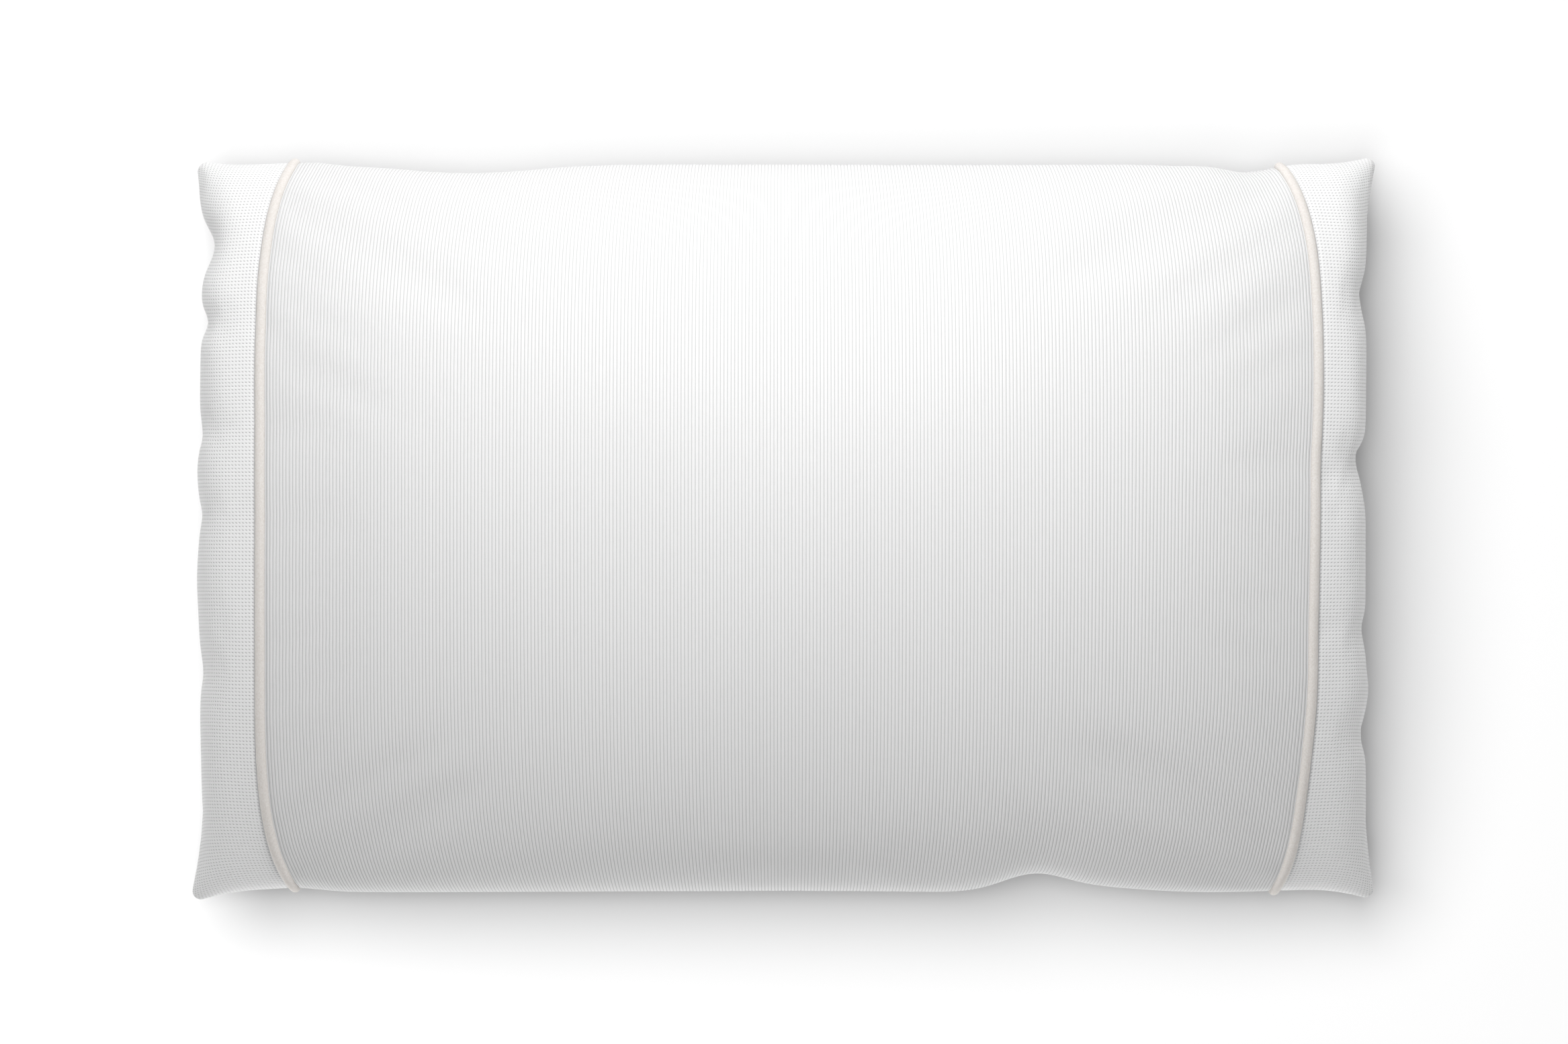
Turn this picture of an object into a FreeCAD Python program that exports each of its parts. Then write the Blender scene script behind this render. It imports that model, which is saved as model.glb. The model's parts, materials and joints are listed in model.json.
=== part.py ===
"""Bed pillow: a filled cotton liner inside a zipped cover of ribbed knit, with mesh ends and piped seams.

Millimetres. X runs along the pillow, Y across it and +Z up. The origin is under the pillow's middle, on
the surface that it lies on. The zip is in the rear long side (+Y), just under the widest line.
"""

import FreeCAD, Part
import math
import os

from FreeCAD import Vector

# Overall form, filled and lying flat
LENGTH = 720.0  # ear tip to ear tip
WIDTH = 449.0
SEAM_Z = 49.0  # height of the seam that joins the cover's upper and lower faces
WIDEST_RISE = 9.0  # the widest line is this far above that seam in the middle
CROWN_RISE = 80.0  # crown above the widest line
BELLY_DROP = 58.8  # belly below it, before the surface flattens it
CROWN_POWER = 2.0  # how full the girth is above the widest line
BELLY_POWER = 5.0  # and below it
END_BULGE = 24.5  # how far fill pushes the middle of an end outwards, at full length
END_PULL = 29.5  # how far the end seam pulls it back in
END_PULL_POWER = 15
BULGE_POWER = 6.5
SIDE_PULL = 3.0  # the long sides pull in beside the piping
SIDE_PULL_POWER = 8

# Cover
COVER_THICK = 2.0
PIPING_SHARE = 0.832  # piping's place, as a share of the half length
PIPING_R = 3.2
PIPING_WALL = 0.7
PLAY = 0.05  # between the cord and its sleeve, and between a lip and its tape
PIPING_GAP = 0.25  # between the sleeve and a panel's edge
PIPING_END_GAP = 0.0015  # share of a piping's run left open where the two faces meet

# Liner and fill, as (along, across, up) insets from the outer face
LINER_INSET = (14.0, 20.0, 5.0)
LINER_THICK = 0.4
FILL_GAP = 0.4

# Zip
ZIP_HALF = 240.0  # half the row of teeth
ZIP_Y = 207.5  # middle of the tape, well inside the long side's outline
TAPE_THICK = 0.6
TAPE_WIDE = 9.0
TAPE_EDGE = 1.9  # tape's inner edge from the middle of the zip
OVERRUN = 20.0  # tape and slot past the last tooth, so that the pull clears the slot's ends
SLOT_HALF = 4.5  # half height of the slot between the lips
LIP_THICK = 2.0
LIP_OVERLAP = 1.0  # a lip's root is buried this deep in its panel
SLOT_INNER_Y = 204.9  # how far in the slot reaches
TOOTH_PITCH = 2.6
TOOTH_WIDE = 1.15
TOOTH_THICK = 2.2
TOOTH_REACH = 0.7  # past the middle, between the other row's teeth
STOP_LONG = 2.0
STOP_THICK = 3.0

# Slider and its pull
SLIDER_LONG = 11.0
SLIDER_HALF_WIDE = 4.0
CHANNEL = 2.8  # between the slider's two plates
PLATE_THICK = 1.0
FLANGE = 0.8
SLIDER_CLEAR = 0.3
WEDGE_LONG = 2.4
WEDGE_HALF_WIDE = 1.2
EAR_THICK = 0.6
EAR_LONG = 2.4
EAR_TALL = 2.8
PIN_R = 0.6
PIN_HEIGHT = 1.8  # pin's axis above the outer plate
EYE_R = 1.3
EYE_BORE_R = 0.68
PULL_LONG = 23.0
PULL_HALF_WIDE = 2.9
PULL_THICK = 1.2
PULL_NECK = 3.5

# Care label, sewn into the rear seam and lying on the lower face
LABEL_MIDDLE_X = -281.0
LABEL_WIDE = 22.0
LABEL_ANGLES = (97.0, 117.0)  # round the girth from the crown, in degrees
LABEL_INSETS = (-0.45, -0.05)  # its two faces, just outside the cover's outer face

# Points that the surfaces pass through
ALONG_POINTS = 29
AROUND_POINTS = 33
PIPING_POINTS = 41
HALF_RING_POINTS = 9
LABEL_POINTS = 9
BIG = 1000.0


def plain_inset(depth):
    """Insets along, across and up that put a surface at this depth under the outer face."""
    return (1.5 * depth, depth, depth)


def seam_dip(s, inset):
    """Angle from the widest line down to the edge seam, at this share of the half length."""
    rise = WIDEST_RISE * (1 - abs(s) ** 8)
    return math.acos((1 - (rise / (BELLY_DROP - inset[2])) ** 2) ** (1 / BELLY_POWER))


def form_point(s, theta, inset):
    """A point of the pillow's form: s is the share of the half length, theta the angle from the crown."""
    swell = math.sqrt(max(0.0, 1 - s**4))  # 1 in the middle, 0 at the end seams
    across = math.sin(theta)
    pulled = abs(s) ** SIDE_PULL_POWER
    half_width = WIDTH / 2 - inset[1] - 4 * SIDE_PULL * pulled * (1 - pulled)
    widest_z = SEAM_Z + WIDEST_RISE * (1 - s**8) * swell
    if math.cos(theta) >= 0:
        full = math.sqrt(max(0.0, 1 - abs(across) ** CROWN_POWER))
        z = widest_z + (CROWN_RISE - inset[2]) * swell * full
    else:
        full = math.sqrt(max(0.0, 1 - abs(across) ** BELLY_POWER))
        z = widest_z - (BELLY_DROP - inset[2]) * swell * full
    bulge = END_BULGE * s - END_PULL * s**END_PULL_POWER
    x = (LENGTH / 2 - inset[0]) * s + bulge * (1 - abs(across) ** BULGE_POWER)
    return Vector(x, half_width * across, z)


def face_point(sigma, v, upper, inset):
    """A point of the upper or lower face: sigma is -90 to 90 degrees along it, v is -1 to 1 across it."""
    s = math.sin(sigma)
    dip = seam_dip(s, inset)
    theta = v * (math.pi / 2 + dip) if upper else math.pi - v * (math.pi / 2 - dip)
    return form_point(s, theta, inset)


SIGMA_PIPING = math.asin(PIPING_SHARE)
NO_INSET = plain_inset(0.0)


def sigma_beside_piping(v, upper, inset, side):
    """Where a panel's edge runs on an inset face, so that it stays clear of the piping on one side of it."""
    step = 1e-4
    centre = face_point(SIGMA_PIPING, v, upper, NO_INSET)
    onwards = (face_point(SIGMA_PIPING + step, v, upper, NO_INSET) - centre).normalize()
    wanted = side * (PIPING_R + PIPING_GAP)
    sigma = SIGMA_PIPING
    for _ in range(8):
        here = (face_point(sigma, v, upper, inset) - centre).dot(onwards)
        ahead = (face_point(sigma + step, v, upper, inset) - centre).dot(onwards)
        sigma += (wanted - here) * step / (ahead - here)
    return sigma


def spline_through(points):
    """Cubic curve through points, with evenly spaced parameters."""
    curve = Part.BSplineCurve()
    curve.interpolate(Points=points, Parameters=[float(k) for k in range(len(points))])
    return curve


def surface_through(rows):
    """Cubic surface through a grid of points. Two surfaces that share a row also share the edge along it."""
    across = [spline_through(row) for row in rows]
    along = [spline_through(list(poles)) for poles in zip(*(curve.getPoles() for curve in across))]
    surface = Part.BSplineSurface()
    surface.buildFromPolesMultsKnots(
        [list(poles) for poles in zip(*(curve.getPoles() for curve in along))],
        along[0].getMultiplicities(),
        across[0].getMultiplicities(),
        along[0].getKnots(),
        across[0].getKnots(),
        False,
        False,
        3,
        3,
    )
    return surface


def face_surface(start, end, upper, inset):
    """B-spline surface of a stretch of the upper or lower face. start and end give sigma at each v."""
    rows = []
    for i in range(ALONG_POINTS):
        row = []
        for j in range(AROUND_POINTS):
            v = 2 * j / (AROUND_POINTS - 1) - 1
            share = i / (ALONG_POINTS - 1)
            sigma = start(v, inset) * (1 - share) + end(v, inset) * share
            row.append(face_point(sigma, v, upper, inset))
        rows.append(row)
    return surface_through(rows)


def boundary_edges(surface):
    """The surface's four edges: start, end, front and rear."""
    u0, u1, v0, v1 = surface.bounds()
    curves = (surface.uIso(u0), surface.uIso(u1), surface.vIso(v0), surface.vIso(v1))
    return [curve.toShape() for curve in curves]


def solid_of(faces):
    """One closed solid from faces that meet edge to edge."""
    shell = Part.makeShell(faces)
    shell.sewShape()
    solid = Part.Solid(shell)
    if solid.Volume < 0:
        solid.reverse()
    return solid


def solid_between(outer, inner):
    """A solid between two surfaces, closed by a strip along each of their four edges."""
    pairs = zip(boundary_edges(outer), boundary_edges(inner))
    strips = [Part.makeRuledSurface(a, b) for a, b in pairs]
    return solid_of([outer.toShape(), inner.toShape(), *strips])


def thick_panel(start, end, upper, outer_inset, inner_inset):
    """A fabric panel with real thickness, between two insets of the form."""
    outer = face_surface(start, end, upper, outer_inset)
    inner = face_surface(start, end, upper, inner_inset)
    return solid_between(outer, inner)


def mirrored(shape):
    """The same piece at the pillow's other end."""
    return shape.mirror(Vector(0, 0, 0), Vector(1, 0, 0))


def box(x, y, z):
    """A box from its (low, high) pairs."""
    size = [high - low for low, high in (x, y, z)]
    return Part.makeBox(*size, Vector(x[0], y[0], z[0]))


def to_left_end(v, inset):
    return -math.pi / 2


def to_right_end(v, inset):
    return math.pi / 2


def inner_face_y(heights):
    """How far out the cover's inner face reaches at the least, at heights between the belly and widest line."""
    inset = plain_inset(COVER_THICK)
    shares = []
    for z in heights:
        drop = (SEAM_Z + WIDEST_RISE - z) / (BELLY_DROP - inset[2])
        shares.append((1 - drop**2) ** (1 / BELLY_POWER))
    return (WIDTH / 2 - inset[1]) * min(shares)


def centre_panel(upper):
    """Ribbed panel between the two pipings, with its edge turned in at the zip."""

    def right_edge(v, inset):
        return sigma_beside_piping(v, upper, inset, -1)

    def left_edge(v, inset):
        return -right_edge(v, inset)

    panel = thick_panel(left_edge, right_edge, upper, NO_INSET, plain_inset(COVER_THICK))
    side = 1 if upper else -1
    slot_x = (-ZIP_HALF - OVERRUN, ZIP_HALF + OVERRUN)
    slot_z = sorted((SEAM_Z - side, SEAM_Z + side * SLOT_HALF))
    lip_z = sorted((SEAM_Z + side * SLOT_HALF, SEAM_Z + side * (SLOT_HALF + LIP_THICK)))
    lip_y = (ZIP_Y + TAPE_THICK / 2 + PLAY, inner_face_y(lip_z) + LIP_OVERLAP)
    panel = panel.fuse(box(slot_x, lip_y, lip_z))
    panel = panel.cut(box(slot_x, (SLOT_INNER_Y, WIDTH), slot_z))
    if not upper:
        panel = panel.common(box((-BIG, BIG), (-BIG, BIG), (0.0, BIG)))
    return panel


def end_panel(upper):
    """Mesh panel at the right end, from the piping to the end seam."""

    def inner_edge(v, inset):
        return sigma_beside_piping(v, upper, inset, 1)

    return thick_panel(inner_edge, to_right_end, upper, NO_INSET, plain_inset(COVER_THICK))


def piping_frames(upper):
    """Places along the right end's piping: each a centre, the direction outwards and the one across."""
    step = 1e-4
    frames = []
    for j in range(PIPING_POINTS):
        v = (1 - PIPING_END_GAP) * (2 * j / (PIPING_POINTS - 1) - 1)
        centre = face_point(SIGMA_PIPING, v, upper, NO_INSET)
        along = face_point(SIGMA_PIPING, v + step, upper, NO_INSET) - centre
        beside = face_point(SIGMA_PIPING + step, v, upper, NO_INSET) - centre
        outwards = along.cross(beside).normalize()
        frames.append((centre, outwards, along.cross(outwards).normalize()))
    return frames


def half_tube(frames, radius, start_angle):
    """Half of a round tube along the frames, from an angle to half a turn further."""
    rows = []
    for centre, outwards, across in frames:
        row = []
        for k in range(HALF_RING_POINTS):
            angle = start_angle + math.pi * k / (HALF_RING_POINTS - 1)
            row.append(centre + across * (radius * math.cos(angle)) + outwards * (radius * math.sin(angle)))
        rows.append(row)
    return surface_through(rows)


def piping_cord(frames):
    """The cord inside the piping."""
    radius = PIPING_R - PIPING_WALL - PLAY
    halves = [half_tube(frames, radius, angle) for angle in (0.0, math.pi)]
    ends = []
    for end in (0, 1):
        rim = [boundary_edges(half)[end] for half in halves]
        ends.append(Part.Face(Part.Wire(rim)))
    return solid_of([half.toShape() for half in halves] + ends)


def piping_sleeve(frames):
    """The knitted strip that is folded round the cord."""
    faces = []
    for angle in (0.0, math.pi):
        outer = half_tube(frames, PIPING_R, angle)
        inner = half_tube(frames, PIPING_R - PIPING_WALL, angle)
        rims = zip(boundary_edges(outer)[:2], boundary_edges(inner)[:2])
        ends = [Part.makeRuledSurface(a, b) for a, b in rims]
        faces += [outer.toShape(), inner.toShape(), *ends]
    return solid_of(faces)


def liner_panel(upper):
    """One half of the cotton liner."""
    inner = tuple(value + LINER_THICK for value in LINER_INSET)
    return thick_panel(to_left_end, to_right_end, upper, LINER_INSET, inner)


def fill():
    """The fibre fill, which takes the liner's inner shape."""
    inset = tuple(value + LINER_THICK + FILL_GAP for value in LINER_INSET)
    faces = [face_surface(to_left_end, to_right_end, upper, inset) for upper in (True, False)]
    return solid_of([surface.toShape() for surface in faces])


def tape(side):
    """One of the zip's two tapes: side is 1 above the teeth, -1 below."""
    z = sorted((SEAM_Z + side * TAPE_EDGE, SEAM_Z + side * TAPE_WIDE))
    x = (-ZIP_HALF - OVERRUN, ZIP_HALF + OVERRUN)
    return box(x, (ZIP_Y - TAPE_THICK / 2, ZIP_Y + TAPE_THICK / 2), z)


def teeth(side):
    """One row of teeth. The two rows stand half a pitch apart, so that they mesh."""
    z = sorted((SEAM_Z - side * TOOTH_REACH, SEAM_Z + side * TAPE_EDGE))
    y = (ZIP_Y - TOOTH_THICK / 2, ZIP_Y + TOOTH_THICK / 2)
    offset = TOOTH_PITCH / 2 if side > 0 else 0.0
    count = int(2 * ZIP_HALF / TOOTH_PITCH)
    row = []
    for k in range(count):
        x = -ZIP_HALF + offset + k * TOOTH_PITCH
        row.append(box((x, x + TOOTH_WIDE), y, z))
    return Part.makeCompound(row)


LAST_TOOTH_X = -ZIP_HALF + (int(2 * ZIP_HALF / TOOTH_PITCH) - 0.5) * TOOTH_PITCH + TOOTH_WIDE
WEDGE_X = LAST_TOOTH_X + SLIDER_CLEAR  # the wedge that parts the teeth stands just past the last one
SLIDER_FRONT_X = WEDGE_X + WEDGE_LONG
SLIDER_X = SLIDER_FRONT_X - SLIDER_LONG / 2
OUTER_PLATE_Y = ZIP_Y + CHANNEL / 2
PIN_Y = OUTER_PLATE_Y + PLATE_THICK + PIN_HEIGHT


def top_stops():
    """Two stops past the slider, one at each tape's edge."""
    x = (SLIDER_FRONT_X + SLIDER_CLEAR, SLIDER_FRONT_X + SLIDER_CLEAR + STOP_LONG)
    y = (ZIP_Y - STOP_THICK / 2, ZIP_Y + STOP_THICK / 2)
    upper = box(x, y, (SEAM_Z + SLIDER_CLEAR, SEAM_Z + TAPE_EDGE))
    lower = box(x, y, (SEAM_Z - TAPE_EDGE, SEAM_Z - SLIDER_CLEAR))
    return Part.makeCompound([upper, lower])


def bottom_stop():
    """One stop across both tapes at the other end."""
    x = (-ZIP_HALF - SLIDER_CLEAR - STOP_LONG, -ZIP_HALF - SLIDER_CLEAR)
    y = (ZIP_Y - STOP_THICK / 2, ZIP_Y + STOP_THICK / 2)
    return box(x, y, (SEAM_Z - TAPE_EDGE, SEAM_Z + TAPE_EDGE))


def slider():
    """The slider's body: two flanged plates joined by the wedge, with a pin held between two ears."""
    x = (SLIDER_X - SLIDER_LONG / 2, SLIDER_FRONT_X)
    across = (SEAM_Z - SLIDER_HALF_WIDE, SEAM_Z + SLIDER_HALF_WIDE)
    inner_y = ZIP_Y - CHANNEL / 2
    pieces = [
        box(x, (OUTER_PLATE_Y, OUTER_PLATE_Y + PLATE_THICK), across),
        box(x, (inner_y - PLATE_THICK, inner_y), across),
    ]
    tape_half = TAPE_THICK / 2 + SLIDER_CLEAR
    ear_x = (SLIDER_X - EAR_LONG / 2, SLIDER_X + EAR_LONG / 2)
    ear_y = (OUTER_PLATE_Y + PLATE_THICK, OUTER_PLATE_Y + PLATE_THICK + EAR_TALL)
    ear_gap = EYE_R + SLIDER_CLEAR
    pin_half = ear_gap + EAR_THICK
    for side in (-1, 1):
        edge = SEAM_Z + side * SLIDER_HALF_WIDE
        flange_z = sorted((edge, edge - side * FLANGE))
        pieces.append(box(x, (ZIP_Y + tape_half, OUTER_PLATE_Y), flange_z))
        pieces.append(box(x, (inner_y, ZIP_Y - tape_half), flange_z))
        ear_z = sorted((SEAM_Z + side * ear_gap, SEAM_Z + side * pin_half))
        pieces.append(box(ear_x, ear_y, ear_z))
    wedge_z = (SEAM_Z - WEDGE_HALF_WIDE, SEAM_Z + WEDGE_HALF_WIDE)
    pieces.append(box((WEDGE_X, SLIDER_FRONT_X), (inner_y, OUTER_PLATE_Y), wedge_z))
    pin_start = Vector(SLIDER_X, PIN_Y, SEAM_Z - pin_half)
    pieces.append(Part.makeCylinder(PIN_R, 2 * pin_half, pin_start, Vector(0, 0, 1)))
    body = pieces[0].multiFuse(pieces[1:]).removeSplitter()
    return body


def pull():
    """The pull: an eye round the slider's pin, a neck and a flat tab with a round end."""
    eye_start = Vector(SLIDER_X, PIN_Y, SEAM_Z - EYE_R)
    up = Vector(0, 0, 1)
    eye = Part.makeCylinder(EYE_R, 2 * EYE_R, eye_start, up)
    y = (PIN_Y - PULL_THICK / 2, PIN_Y + PULL_THICK / 2)
    neck_x = (SLIDER_X - PULL_NECK - PULL_HALF_WIDE, SLIDER_X)
    neck = box(neck_x, y, (SEAM_Z - EYE_R, SEAM_Z + EYE_R))
    tip_x = SLIDER_X - PULL_LONG + PULL_HALF_WIDE
    tab = box((tip_x, SLIDER_X - PULL_NECK), y, (SEAM_Z - PULL_HALF_WIDE, SEAM_Z + PULL_HALF_WIDE))
    tip = Part.makeCylinder(PULL_HALF_WIDE, PULL_THICK, Vector(tip_x, y[0], SEAM_Z), Vector(0, 1, 0))
    body = eye.multiFuse([neck, tab, tip]).removeSplitter()
    return body.cut(Part.makeCylinder(EYE_BORE_R, 2 * EYE_R, eye_start, up))


def care_label():
    """A blank folded label that hangs from the rear seam against the lower face."""
    low, high = (math.radians(angle) for angle in LABEL_ANGLES)
    shares = [k / (LABEL_POINTS - 1) for k in range(LABEL_POINTS)]
    surfaces = []
    for depth in LABEL_INSETS:
        rows = []
        for across in shares:
            row = []
            for share in shares:
                theta = low + (high - low) * share
                bulge = END_BULGE * (1 - math.sin(theta) ** BULGE_POWER)
                s = (LABEL_MIDDLE_X + LABEL_WIDE * (across - 0.5)) / (LENGTH / 2 + bulge)
                row.append(form_point(s, theta, plain_inset(depth)))
            rows.append(row)
        surfaces.append(surface_through(rows))
    return solid_between(*surfaces)


def parts():
    """Every piece of the pillow, by name."""
    made = {"fibre_fill": fill(), "care_label": care_label()}
    for face, upper in (("top", True), ("bottom", False)):
        made[f"centre_panel_{face}"] = centre_panel(upper)
        made[f"liner_{face}"] = liner_panel(upper)
        frames = piping_frames(upper)
        right = {
            "end_panel": end_panel(upper),
            "piping_sleeve": piping_sleeve(frames),
            "piping_cord": piping_cord(frames),
        }
        for name, shape in right.items():
            made[f"right_{name}_{face}"] = shape
            made[f"left_{name}_{face}"] = mirrored(shape)
    for row, side in (("upper", 1), ("lower", -1)):
        made[f"zip_tape_{row}"] = tape(side)
        made[f"zip_teeth_{row}"] = teeth(side)
    made["zip_top_stops"] = top_stops()
    made["zip_bottom_stop"] = bottom_stop()
    made["zip_slider"] = slider()
    made["zip_pull"] = pull()
    return made


os.makedirs("parts", exist_ok=True)
for name, shape in parts().items():
    shape.exportStep(f"parts/{name}.step")
    print(f"{name}: {len(shape.Solids)} solids, valid {shape.isValid()}, {shape.Volume:.1f} cubic mm")
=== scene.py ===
"""Bed pillow: a ribbed knit cover with mesh ends, piped seams and a concealed zip. Metres, +Z up."""

import json
import math

import bpy
import numpy as np
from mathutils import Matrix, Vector

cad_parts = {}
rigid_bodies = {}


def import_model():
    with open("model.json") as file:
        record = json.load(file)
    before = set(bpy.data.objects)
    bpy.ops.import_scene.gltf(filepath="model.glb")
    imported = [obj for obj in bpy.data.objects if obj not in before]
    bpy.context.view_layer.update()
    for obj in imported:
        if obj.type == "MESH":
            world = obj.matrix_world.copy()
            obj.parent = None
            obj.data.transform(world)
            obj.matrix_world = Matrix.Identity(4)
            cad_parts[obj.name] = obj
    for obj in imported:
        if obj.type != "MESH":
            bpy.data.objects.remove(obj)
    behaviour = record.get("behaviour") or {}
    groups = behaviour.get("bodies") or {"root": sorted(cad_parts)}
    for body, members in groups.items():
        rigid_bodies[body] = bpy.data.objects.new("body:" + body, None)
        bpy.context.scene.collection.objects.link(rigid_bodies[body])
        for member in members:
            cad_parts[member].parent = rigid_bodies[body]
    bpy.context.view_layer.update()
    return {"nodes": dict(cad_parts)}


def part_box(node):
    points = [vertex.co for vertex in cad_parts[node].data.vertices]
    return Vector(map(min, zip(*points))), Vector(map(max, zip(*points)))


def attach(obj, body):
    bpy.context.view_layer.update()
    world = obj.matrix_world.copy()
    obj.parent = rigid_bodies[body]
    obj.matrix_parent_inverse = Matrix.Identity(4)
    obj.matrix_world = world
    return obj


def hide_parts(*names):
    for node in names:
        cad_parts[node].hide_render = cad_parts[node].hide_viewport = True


MM = 0.001

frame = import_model()

# Sizes that the frame gives
end_low, end_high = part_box("right_end_panel_top")
centre_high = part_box("centre_panel_top")[1]
tape_low, tape_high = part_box("zip_tape_upper")
HALF_LENGTH = end_high[0]
HALF_WIDTH = end_high[1]
SEAM_Z = end_low[2]
CROWN_Z = centre_high[2]
ZIP_FACE_Y = tape_high[1]
ZIP_REACH = tape_high[0]

# The pillow's form, as designed
WIDEST_Z = SEAM_Z + 9 * MM
BELLY_DROP = 58.8 * MM
BELLY_POWER = 5.0
END_BULGE = 24.5 * MM
END_PULL = 29.5 * MM
END_PULL_POWER = 15
BULGE_POWER = 6.5
SIDE_PULL = 3 * MM
SIDE_PULL_POWER = 8
PIPING_SHARE = 0.832
PIPING_R = 3.2 * MM
SLOT_HALF = 4.5 * MM
LINER_INSET = (14 * MM, 20 * MM, 5 * MM)
FILL_INSET = (14.8 * MM, 20.8 * MM, 5.8 * MM)
LABEL_X = (-292 * MM, -270 * MM)
LABEL_ANGLES = (97.0, 117.0)

# How the stuffed cover departs from it
CORNER_POWER = 60  # how square the corners are, seen from above
PINCH_REACH = 30 * MM  # how far in from the end seam a pinch carries
PINCH_SPREAD = 45 * MM  # and how far in it is twice as wide
FOLD_PEAK = 13 * MM  # how far in its fold is deepest
FOLD_SHARE = 0.55  # the fold's depth, as a share of the pinch's
LEFT_PINCHES = (  # distance across from the middle, depth, half width
    (171 * MM, 8.0 * MM, 14 * MM),
    (124 * MM, 4.6 * MM, 8 * MM),
    (59 * MM, 1.8 * MM, 9 * MM),
    (33 * MM, -1.7 * MM, 14 * MM),
    (7 * MM, 1.6 * MM, 8 * MM),
    (-31 * MM, -1.7 * MM, 18 * MM),
    (-87 * MM, 2.4 * MM, 13 * MM),
)
RIGHT_PINCHES = (
    (139 * MM, 4.9 * MM, 13 * MM),
    (40 * MM, 7.6 * MM, 9 * MM),
    (24 * MM, 2.6 * MM, 9 * MM),
    (0.0, 2.9 * MM, 150 * MM),
    (-64 * MM, 2.6 * MM, 9 * MM),
    (-98 * MM, -1.6 * MM, 9 * MM),
    (-126 * MM, 3.4 * MM, 10 * MM),
)
HOLLOW_TALL = 34 * MM  # how far above and below the widest line a hollow carries
SIDE_HOLLOWS = (  # distance along from the middle, depth, half width, side
    (-190 * MM, 8.5 * MM, 52 * MM, 1),
    (284 * MM, 6.5 * MM, 20 * MM, 1),
    (-296 * MM, 2.0 * MM, 18 * MM, -1),
    (152 * MM, 11.5 * MM, 26 * MM, -1),
    (185 * MM, 4.0 * MM, 45 * MM, -1),
)
EARS = (  # side along, side across, how far the corner's tip is pushed out along and across
    (-1, -1, 3.5 * MM, 5.5 * MM),
    (1, -1, 1.5 * MM, 4.0 * MM),
    (1, 1, 2.5 * MM, 2.5 * MM),
)
EAR_REACH = 24 * MM
PIPING_DRIFT = (  # distance across, outward shift, half width, side
    (0.0, -2.6 * MM, 170 * MM, -1),
    (140 * MM, 4.2 * MM, 130 * MM, 1),
    (-168 * MM, -3.2 * MM, 45 * MM, 1),
)
DRIFT_FROM = 0.35  # the fabric beside a piping drifts with it from this share of the half length outwards
PUFF = 7 * MM  # how far the mesh ends puff up, and where, as shares of the half length
PUFF_SHARE = 0.93
PUFF_WIDTH = 0.055
LUMPS = (  # height of the fill's unevenness, its length along and across, and where it starts
    (0.9 * MM, 83 * MM, 64 * MM, 0.4),
    (0.7 * MM, 47 * MM, 71 * MM, 2.1),
    (0.5 * MM, 31 * MM, 38 * MM, 4.4),
)
VALLEY_TALL = 11 * MM  # the rear seam's valley: how far up and down it carries,
VALLEY_CLEAR = 2.2 * MM  # how far outside the zip's face its floor is,
VALLEY_FADE = (-10 * MM, 28 * MM)  # and where it fades out, outwards from the tapes' ends

# Cloth settling: points around and along, frames, and how far a point may move
CLOTH_AROUND = 150
CLOTH_ALONG = 141
CLOTH_FRAMES = 15
FLOOR_HOLD = 1 * MM  # cloth lower than this is held where it rests
CLOTH_CAP = 3 * MM

# Fabric and trimmings
RIBS = 300
RIB_STEPS = (0.0, 0.22, 0.5, 0.78)  # columns of points in a rib, from the middle of its groove
RIB_DEPTH = 0.5 * MM
RIB_ROWS = 160
GROOVE_WIDE = 0.13  # in ribs
MESH_PITCH = 2.2  # millimetres, as the UV maps are
EDGE_ROLL = 5.5 * MM  # a panel's edge rolls down over this width to meet the piping
MESH_EDGE_DROP = 3.6 * MM
RIB_EDGE_DROP = 1.6 * MM
PANEL_ROWS = 420
PANEL_COLUMNS = 64
TAPE_BEAD = 0.4 * MM
TAPE_COLUMNS = 261
TAPE_GAP = 0.05 * MM  # from the middle of the zip to a tape, where the tapes have closed up
TAPE_SWAY = 0.12 * MM  # a tape's slight waviness
TAPE_WAVE = 9 * MM
LIPS_CLOSE = (-3.5 * MM, 0.5 * MM)  # where the slot's lips meet, outwards from the tapes' ends
TAPES_CLOSE = (-14 * MM, -8 * MM)  # and where the tapes do
LIP_TUCK = 1.5 * MM  # how far the closed seam's edges turn in
LIP_CLEAR = 0.15 * MM  # between a lip and its tape
PIPING_SINK = 0.4 * MM
LABEL_LAYERS = (0.45 * MM, 0.15 * MM)  # how far its outer and inner layers lie from the cover
LABEL_CURL = 0.5 * MM  # how far its free end stands away
STITCH_PITCH = 3.2 * MM
STITCH_LONG = 2.4 * MM
STITCH_R = 0.32 * MM
STITCH_RAISE = 0.6  # how proud a stitch stands, as a share of its radius
STITCH_FROM_LIP = 2.6 * MM

# View and light
VIEW_WIDTH = 957 * MM  # across the picture, at the height of the pillow's widest line
VIEW_CENTRE = (-0.4 * MM, 2.9 * MM)


def smoothstep(low, high, x):
    """0 below low, 1 above high, and smooth between."""
    t = np.clip((x - low) / (high - low), 0.0, 1.0)
    return t * t * (3.0 - 2.0 * t)


def bell(x, middle, width):
    """A smooth hump of height 1."""
    return np.exp(-(((x - middle) / width) ** 2))


def split(points):
    """The x, y and z of an array of points."""
    return points[..., 0], points[..., 1], points[..., 2]


def join(x, y, z):
    """An array of points from their x, y and z."""
    return np.stack(np.broadcast_arrays(x, y, z), axis=-1)


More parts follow.
